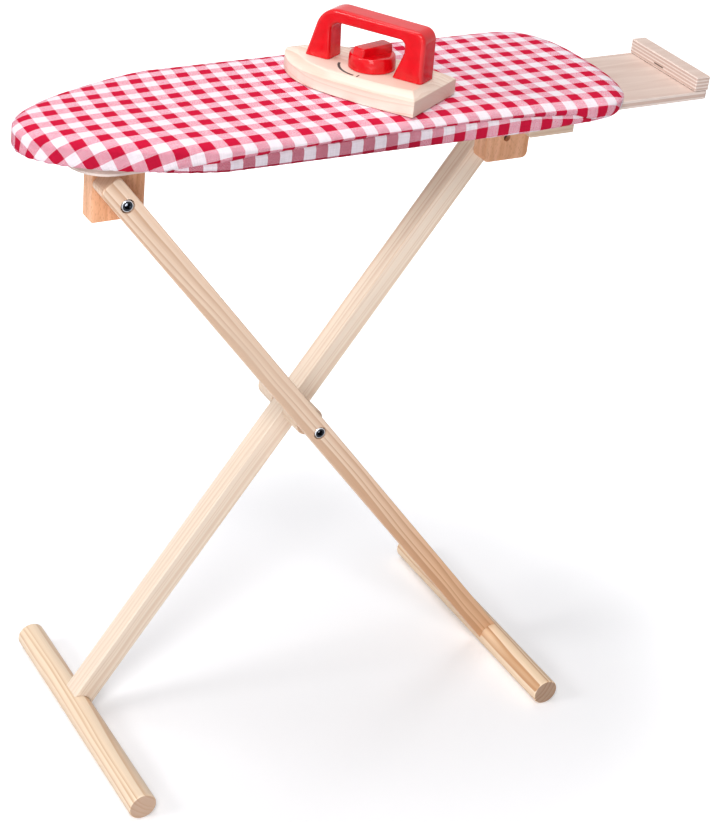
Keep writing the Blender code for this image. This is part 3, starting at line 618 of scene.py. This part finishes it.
def seamRise(x):
    # seam above the lower edge: level along the sides, 1 - 0.55 s^2 - 0.45 s^9 toward the nose,
    # a slow fall toward the square end, and gone round its corner
    s = np.clip((0.040 - x) / 0.259, 0, 1)
    level = cover["seam"] * (1 - 0.55 * s ** 2 - 0.45 * s ** 9) - cover["seamFall"] * ease(x, 0.060, 0.200)
    return level * (1 - ease(x, *cover["seamEnd"]))


def edgeRadius(x):
    # radius of the turn under the lower edge: small along the sides, large round the pillow-like square end
    return cover["edgeRound"] + (cover["tailEdgeRound"] - cover["edgeRound"]) * ease(x, 0.085, 0.190)


def topPlace(x, y):
    # cloth place on the top: a cubic of the place on the board, nearly square to it, turned by one or two
    # degrees and slightly stretched along it
    u, v = x / 0.25, y / 0.085
    i = (7.095 + 0.130 * v - 0.183 * v ** 2 + 12.118 * u + 0.113 * u * v - 0.060 * u ** 2 - 0.161 * u ** 3
         - 0.095 * u ** 2 * v + 0.250 * u * v ** 2 - 0.053 * v ** 3)
    j = (-0.361 + 4.536 * v + 0.181 * v ** 2 - 0.190 * u - 0.169 * u * v + 0.302 * u ** 2 - 0.048 * u ** 3
         + 0.049 * u ** 2 * v + 0.026 * u * v ** 2 + 0.032 * v ** 3)
    return np.stack([i, j], -1) * ginghamLook["period"]


def bandPlace(x, y, hang):
    # cloth place in the side strip, whose stripes run square to the edge. Hang is how far a point lies below
    # the level part of the seam.
    period = ginghamLook["period"]
    firstRed = 17.3 * mm - 10.5 * mm * ease(x, -0.09, 0.12) + 6.5 * mm * ease(x, 0.08, 0.17)
    along = np.where(y < 0, x - 1.0 * mm, x + 4.0 * mm) / 1.02 + period / 2
    return np.stack([along + 0 * hang, np.where(y < 0, firstRed - hang, hang + 3 * mm)], -1)


def coverBase():
    # Rows run from the middle of the top to the shoulder, down the wall to the seam, on round the lower edge,
    # and under to the hem. Returns the smooth surface, each point's cloth place with its share of painted shade, and
    # the row of the seam.
    count = cover["around"]
    outline = boardOutline(count)
    outward = outwardOf(outline)
    outX, outY = outline.T
    low, top = coverLow[2] + cover["spareBelow"], coverHigh[2] - cover["spareAbove"]
    foot = low + cover["foot"]
    # top and shoulder: z = foot + rise (1 - (1 - t)^2.2)^0.75, t the share of the shoulder's run
    flatRows, shoulderRows = cover["rows"]
    insets = np.concatenate([
        np.linspace(cover["tailHalf"], cover["shoulder"], flatRows)[:-1],
        cover["shoulder"] * np.linspace(1, 0, shoulderRows) ** 1.6])
    t = np.minimum(insets / cover["shoulder"], 1)
    first, second = cover["shoulderPowers"]
    height = foot + (top - foot) * (1 - (1 - t) ** first) ** second
    upper = drawnIn(outline, insets)
    # the cloth runs over the shoulder, so its place moves outward by the arc's length beyond the flat distance
    arc = np.cumsum(np.hypot(np.diff(insets, prepend=insets[:1]), np.diff(height, prepend=height[:1])))
    spare = arc - (insets[0] - insets)
    upperPlace = topPlace(upper[..., 0], upper[..., 1]) + outward * (cover["shoulderCloth"] * spare)[:, None, None]
    # wall: a straight drop, then a quarter circle under the edge, both followed by their run of cloth
    radius = edgeRadius(outX)
    drop = cover["foot"] - radius
    seamRun = cover["foot"] - seamRise(outX)
    endRun = drop + radius * np.pi / 2
    steps = np.concatenate([[0.004], (np.arange(1, 15) / 14) ** 1.4])[:, None]
    run = np.concatenate([np.linspace(0, 1, 8)[1:, None] * seamRun, seamRun + (endRun - seamRun) * steps])
    turn = np.clip((run - drop) / radius, 0, np.pi / 2)
    wall = outline - outward * (radius * (1 - np.cos(turn)))[..., None]
    wallHeight = foot - np.minimum(run, drop) - radius * np.sin(turn)
    wrapped = upperPlace[-1] + outward * run[..., None]
    hang = run - cover["foot"] + cover["seam"]
    inStrip = (seamRise(outX) > 1.5 * mm) & (run > seamRun)
    wallPlace = np.where(inStrip[..., None], bandPlace(outX, outY, hang), wrapped)
    # painted shade on the wall: the side band darkest toward the nose, the wall round the nose a little darker, both
    # fading toward the square end
    wallPaintedShade = np.where(inStrip, 1.0 - 0.85 * ease(outX, -0.05, 0.07), 0.1 + 0.3 * (1 - ease(outX, 0.09, 0.15)))
    # hem, drawn in under the board
    share = np.linspace(0, 1, 9)[1:, None]
    under = wall[-1] + (drawnIn(outline, cover["hem"]) - wall[-1]) * share[..., None]
    underPlace = wallPlace[-1] + outward * ((cover["hem"] - radius) * share)[..., None]
    plan = np.concatenate([upper, wall, under])
    heights = np.concatenate([height[:, None] + 0 * outX, wallHeight, low + 0 * share * outX])
    # painted shade on the steep lower part of the shoulder, fading toward the square end
    shoulderPaintedShade = 0.4 * ease(cover["shoulder"] - insets, 8 * mm, 18 * mm)[:, None] * (1 - ease(outX, 0.09, 0.15))
    # the hem under the board takes full painted shade
    paintedShade = np.concatenate([shoulderPaintedShade, wallPaintedShade, np.ones(under.shape[:2])])
    places = np.concatenate([np.concatenate([upperPlace, wallPlace, underPlace]), paintedShade[..., None]], -1)
    return np.concatenate([plan, heights[..., None]], -1), places, len(insets) + 6


def makeCover():
    base, places, seamRow = coverBase()
    rows, count = base.shape[:2]
    outX = base[seamRow, :, 0]
    around = 2 * np.pi * np.arange(count) / count
    # surface normals, and the distance over the cloth from the seam: below zero above it
    normal = np.cross(np.gradient(base, axis=0), np.roll(base, -1, 1) - np.roll(base, 1, 1))
    normal /= np.maximum(np.linalg.norm(normal, axis=2), 1e-12)[..., None]
    length = np.cumsum(np.linalg.norm(np.diff(base, axis=0, prepend=base[:1]), axis=2), axis=0)
    away = length - length[seamRow]
    # seam: a groove -d exp(-(q/w)^2), with the padding swelling beside it as (q/w) exp(1 - q/w), and puckers along it
    sewn = ease(seamRise(outX), 0.4 * mm, 3 * mm)
    groove = -cover["creaseDeep"] * np.exp(-(away / cover["creaseWide"]) ** 2)
    swell = np.abs(away) / cover["puffWide"]
    puff = np.where(away < 0, cover["puffAbove"], cover["puffBelow"]) * swell * np.exp(1 - swell)
    first, second = cover["puckers"]
    ripple = (0.5 * np.sin(first * around + 2.0 * np.sin(9 * around))
              + 0.5 * np.sin(second * around + 1.3 + 1.5 * np.sin(7 * around)))
    pucker = cover["pucker"] * ripple * np.exp(-(away / cover["puckerReach"]) ** 2)
    # gathers: where the edge curves, the spare cloth folds as it nears the lower edge, and more so under it
    curved = np.clip(ease(-outX, 0.15, 0.26) + ease(outX, 0.17, 0.205), 0, 1)
    first, second = cover["gathers"]
    folds = 0.65 * np.sin(first * around + 2.6 * np.sin(11 * around)) + 0.35 * np.sin(second * around + 0.6)
    fromFoot = np.maximum(length - length[sum(cover["rows"]) - 2], 0)
    gather = cover["gather"] * folds * (0.25 + 0.75 * curved) * ease(fromFoot, 6 * mm, 20 * mm)
    push = sewn * (groove + puff) + pucker * (0.35 + 0.65 * sewn) + gather
    points = base + normal * push[..., None]
    # slow waves of the padded top, which fade out just below the shoulder
    x, y = base[..., 0], base[..., 1]
    wave = (0.5 * np.sin(x / 0.021 + 2.1 * np.sin(y / 0.035)) + 0.3 * np.sin(x / 0.013 - y / 0.017 + 0.7)
            + 0.3 * np.sin(y / 0.011 + x / 0.048))
    points[..., 2] += cover["wave"] * wave * (1 - ease(fromFoot, 0, 4 * mm)) * (np.arange(rows) < seamRow)[:, None]
    faces = foldedRow(gridFaces(rows, count), 0, count)
    piece = makePiece("ginghamCoverCloth", points, faces[:, ::-1], ginghamCotton, "board",
                      clothPlaceAndShade=places)
    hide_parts("gingham_cover")
    return piece


def makePanel():
    # plywood under the pad: its lower edge is rounded off with the turn of the cover, just inside the cloth
    count = 240
    outline = boardOutline(count)
    low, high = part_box("board_panel")[0][2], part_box("board_panel")[1][2]
    heights = np.linspace(low, high, 7)[:, None]
    radius = edgeRadius(outline[:, 0])
    below = np.clip((coverLow[2] + radius - heights) / radius, 0, 1)
    inset = cover["panelInset"] + radius * (1 - np.sqrt(1 - below ** 2))
    rim = outline - outwardOf(outline) * inset[..., None]
    inner = np.array([cover["tailHalf"], cover["panelInnerRow"]])
    plan = np.concatenate([drawnIn(rim[0], inner), rim, drawnIn(rim[-1], inner[::-1])])
    levels = np.concatenate([[low, low], heights[:, 0], [high, high]])
    points = np.concatenate([plan, levels[:, None, None] + 0 * plan[..., :1]], -1)
    faces = foldedRow(foldedRow(gridFaces(len(plan), count), 0, count), len(plan) - 1, count)
    finish = makePlywood("birchPlyPanel", low, plyLook["panelPly"], 9.0)
    piece = makePiece("panelSheet", points, faces, finish, "board", crease=50)
    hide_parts("board_panel")


pad = {
    "underCloth": 0.7 * mm, "edge": 9 * mm, "inset": 3.6 * mm, "undercut": 0.6 * mm, "round": 20 * mm,
    "innerRow": 30 * mm,
}


def makePad():
    # foam under the cover: the same outline drawn in, flat below, rounded up to a flat top
    count = 240
    outline = boardOutline(count)
    bottom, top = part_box("foam_pad")[0][2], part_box("foam_pad")[1][2] - pad["underCloth"]
    edge = bottom + pad["edge"]
    share = np.linspace(0, 1, 9)[1:]
    half, inset = cover["tailHalf"], pad["inset"]
    flat = inset + pad["round"]
    insets = np.concatenate([
        [half, pad["innerRow"], inset + pad["undercut"], inset, inset],
        inset + pad["round"] * share, flat + (half - flat) * share])
    heights = np.concatenate([
        [bottom, bottom, bottom, bottom + 1 * mm, edge], edge + (top - edge) * (1 - (1 - share) ** 2), top + 0 * share])
    plan = drawnIn(outline, insets)
    points = np.concatenate([plan, heights[:, None, None] + 0 * plan[..., :1]], -1)
    faces = foldedRow(foldedRow(gridFaces(len(insets), count), 0, count), len(insets) - 1, count)
    piece = makePiece("foamPadSlab", points, faces, padFoam, "board")
    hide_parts("foam_pad")


coverCloth = makeCover()
makePad()
makePanel()
print("cover and pad made")


# the iron's sloping deck: its place and directions come from the dial's axle, 59 mm along it
joints = {joint["name"]: joint for joint in frame["record"]["behaviour"]["joints"]}
axle = joints["dial_turn"]
deckUp = np.array(axle["axis"]) / np.linalg.norm(axle["axis"])
deckSide = np.array([-deckUp[1], deckUp[0], 0.0]) / np.hypot(deckUp[0], deckUp[1])
deckAhead = np.cross(deckSide, deckUp)
dialAlong = 59 * mm


def onDeck(ahead, side, up):
    # points from distances toward the iron's nose, sideways and up from the rear of its deck
    return (np.array(axle["pos_m"]) + (ahead - dialAlong)[..., None] * deckAhead
            + side[..., None] * deckSide + up[..., None] * deckUp)


def roundedRing(length, halfWidth, radius, steps=7):
    # rounded rectangles, one for each length: quarter circles of the radius at the corners and two points on
    # each flat side. Lengths run from zero, widths about zero.
    length, halfWidth, radius = (np.reshape(value, (-1, 1)) for value in (length, halfWidth, radius))
    arc = np.linspace(0, np.pi / 2, steps)
    flat, wide, turn = [], [], []
    for k, (a, b) in enumerate(((1, -1), (1, 1), (0, 1), (0, -1))):
        after = ((1, 1), (0, 1), (0, -1), (1, -1))[k]
        for share in (0.08, 0.92):
            flat.append(np.array([a + (after[0] - a) * share]))
            wide.append(np.array([b + (after[1] - b) * share]))
        flat.insert(-2, np.full(steps, a))
        wide.insert(-2, np.full(steps, b))
        turn += [(k - 1) * np.pi / 2 + arc, np.full(2, k * np.pi / 2)]
    flat, wide, turn = (np.concatenate(parts) for parts in (flat, wide, turn))
    return (radius + (length - 2 * radius) * flat + radius * np.cos(turn),
            (halfWidth - radius) * wide + radius * np.sin(turn))


def cornerArc(before, corner, after, radius, count):
    # points on the circle that rounds a corner, from one tangent point to the other
    before, corner, after = (np.array(point) for point in (before, corner, after))
    u = (before - corner) / np.linalg.norm(before - corner)
    v = (after - corner) / np.linalg.norm(after - corner)
    half = math.acos(np.clip(u @ v, -1, 1)) / 2
    centre = corner + (u + v) / np.linalg.norm(u + v) * radius / math.sin(half)
    start, end = corner + u * radius / math.tan(half) - centre, corner + v * radius / math.tan(half) - centre
    t = np.linspace(0, 1, count)[:, None]
    turn = math.pi - 2 * half
    return centre + (np.sin((1 - t) * turn) * start + np.sin(t * turn) * end) / math.sin(turn)


def between(start, end, count):
    # points between two points, both left out
    t = np.linspace(0, 1, count + 2)[1:-1, None]
    return np.array(start) * (1 - t) + np.array(end) * t


handle = {
    # corners in mm over the deck, from the rear foot over the top to the front foot
    "outer": ((8.2, 0.3), (8.2, 41.3), (102.2, 43.3), (115.7, 0.3)), "outerRadii": (9.0, 22.0),
    "inner": ((35.0, 0.3), (26.2, 21.8), (26.2, 31.8), (94.1, 31.8), (93.2, 0.3)), "innerRadii": (8.0, 4.8, 8.0),
    "halfThick": 10.5 * mm, "edge": 3.1 * mm,
}


def makeHandle():
    # one rounded section carried along the loop: each lies between a point of the outer path and its partner
    # on the inner one
    a, b, c, d = handle["outer"]
    first, second = handle["outerRadii"]
    rear, front = cornerArc(a, b, c, first, 12), cornerArc(b, c, d, second, 18)
    outer = np.concatenate([
        [a], between(a, rear[0], 15), rear, between(rear[-1], front[0], 20), front, between(front[-1], d, 12), [d]])
    e, f, g, h, k = handle["inner"]
    radii = handle["innerRadii"]
    splay = cornerArc(e, f, g, radii[0], 6)
    rear, front = cornerArc(f, g, h, radii[1], 12), cornerArc(g, h, k, radii[2], 18)
    inner = np.concatenate([
        [e], between(e, splay[0], 6), splay, between(splay[-1], rear[0], 3), rear,
        between(rear[-1], front[0], 20), front, between(front[-1], k, 12), [k]])
    across = (inner - outer) * mm
    length = np.linalg.norm(across, axis=1)[:, None]
    u, v = roundedRing(length, handle["halfThick"], handle["edge"])
    place = outer[:, None, :] * mm + (across / length)[:, None, :] * u[..., None]
    points = onDeck(place[..., 0], v + 0 * u, place[..., 1])
    rows, count = u.shape
    ends = [list(range(count))[::-1], list(range((rows - 1) * count, rows * count))]
    piece = makePiece("handleLoop", points, gridFaces(rows, count), redEnamel, "iron",
                      caps=ends, crease=38)
    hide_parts("iron_handle")


dial = {
    # radius and height of the turned skirt, in mm over the deck
    "skirt": ((18.6, 0.3), (19.0, 0.8), (19.0, 3.4), (19.0, 6.0), (18.75, 8.4), (18.5, 10.6)),
    "skirtRound": 1.4, "skirtTop": 12.0, "topRadius": 18.45,
    "gripTop": 18.5, "gripHalf": 6.0, "gripEnds": (17.0, 16.0), "gripCorner": 2.2, "gripRound": 1.3,
    "turn": -108,  # degrees from the iron's nose
}


def makeDial():
    # a turned skirt, and on it a bar with rounded corners that tapers a little toward its rounded top
    look = dial
    arc = np.linspace(0, np.pi / 2, 7)[1:]
    sunk, top = look["skirtRound"], look["skirtTop"]
    rounded = np.stack([look["topRadius"] - sunk + sunk * np.cos(arc), top - sunk + sunk * np.sin(arc)], 1)
    profile = np.concatenate([look["skirt"], rounded]) * mm
    around = np.linspace(0, 2 * np.pi, 97)[:-1]
    radius, height = profile[:, :1], profile[:, 1:]
    skirt = onDeck(dialAlong + radius * np.cos(around), radius * np.sin(around), height + 0 * around)
    rows, count = skirt.shape[:2]
    caps = [list(range(count))[::-1], list(range((rows - 1) * count, rows * count))]
    # bar: straight up, then a quarter circle in over its top edge
    curve = look["gripRound"]
    rise = np.concatenate([
        np.linspace(top - 1, look["gripTop"] - curve, 6), look["gripTop"] - curve * (1 - np.sin(arc))])
    inward = np.concatenate([np.zeros(6), curve * (1 - np.cos(arc))])
    long = np.interp(rise, (top, look["gripTop"]), look["gripEnds"]) - inward
    u, v = roundedRing(2 * long, look["gripHalf"] - inward, look["gripCorner"] - 0.6 * inward)
    u, v = (u - long[:, None]) * mm, v * mm
    turn = math.radians(look["turn"])
    bar = onDeck(dialAlong + u * math.cos(turn) - v * math.sin(turn), u * math.sin(turn) + v * math.cos(turn),
                 rise[:, None] * mm + 0 * u)
    barRows, barCount = u.shape
    start, end = rows * count, rows * count + barRows * barCount
    caps += [list(range(start, start + barCount))[::-1], list(range(end - barCount, end))]
    points = np.concatenate([skirt.reshape(-1, 3), bar.reshape(-1, 3)])
    faces = np.concatenate([gridFaces(rows, count), gridFaces(barRows, barCount) + start])
    piece = makePiece("dialKnob", points, faces, redEnamel, "dial", caps=caps, crease=38)
    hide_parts("iron_dial")


makeHandle()
makeDial()
print("handle and dial made")


def boxMiddle(name):
    low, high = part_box(name)
    return tuple((a + b) / 2 for a, b in zip(low, high))


def legSlope(name):
    # the bar's slope, taken from opposite corners of its box
    low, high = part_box(name)
    return math.atan2(high[2] - low[2], high[0] - low[0])


quarter = math.pi / 2
deckTurn = Matrix((deckAhead, deckSide, deckUp)).transposed().to_euler()
stamp = (tuple(axle["pos_m"]), tuple(deckTurn))
# each board's name, piece, turn of its grain, heart of the tree beside it, own number and look, then its stamp
# and the places between which it is tanned, if it has them
boards = [
    ("pineLegA", "leg_a", (0.0, legSlope("leg_a"), 0.0), (0.052, -0.031), 3.1, legALook, None, (0.0, 0.22)),
    ("pineLegB", "leg_b", (0.0, -legSlope("leg_b"), 0.0), (-0.046, -0.040), 8.7, legBLook),
    ("pineFootA", "foot_a", (0.0, 0.0, quarter), (0.035, 0.028), 14.2, footALook),
    ("pineFootB", "foot_b", (0.0, 0.0, quarter), (-0.030, 0.036), 21.9, footBLook),
    ("pineBattens", "batten_near", (0.0, 0.0, 0.0), (0.040, 0.040), 41.0, pineLook),
    ("pineRounds", "crossing_spacer", (0.0, 0.0, quarter), (0.050, 0.012), 47.5, pineLook),
    ("pineSole", "iron_sole", (0.0, 0.0, math.radians(120.3)), (0.020, -0.060), 33.4, soleLook, stamp),
]
finishes = {piece: makePine(name, boxMiddle(piece), *rest) for name, piece, *rest in boards}
finishes["base_board"] = makePlywood("birchPlyBase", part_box("base_board")[0][2], plyLook["basePly"], 2.0)
finishes["tray_lip"] = makePlywood("birchPlyLip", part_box("tray_lip")[0][2], plyLook["lipPly"], 6.0, plyLook["lipGap"])
finishes["hinge_bracket"] = makeBeech()
finishes["hinge_insert"] = makeZinc("zincPlatedSteel")
for name, piece, joint in (("zincHingeBolt", "hinge_bolt", "leg_a_hinge"),
                           ("zincCrossingBolt", "crossing_bolt", "leg_b_hinge"),
                           ("zincBlockBolt", "block_bolt", "block_hinge")):
    finishes[piece] = makeZinc(name, joints[joint]["pos_m"])
finishes["batten_far"] = finishes["batten_near"]
finishes["crossing_boss"] = finishes["crossing_spacer"]
finishes["rest_block"] = finishes["hinge_bracket"]
finishes["iron_dial"] = finishes["iron_handle"] = redEnamel
for name, node in nodes.items():
    finish = finishes.get(name, finishes["hinge_insert"])  # all other screws and inserts are plated too
    for holder in node.material_slots:
        holder.material = finish
print("finishes set on", len(nodes), "pieces")
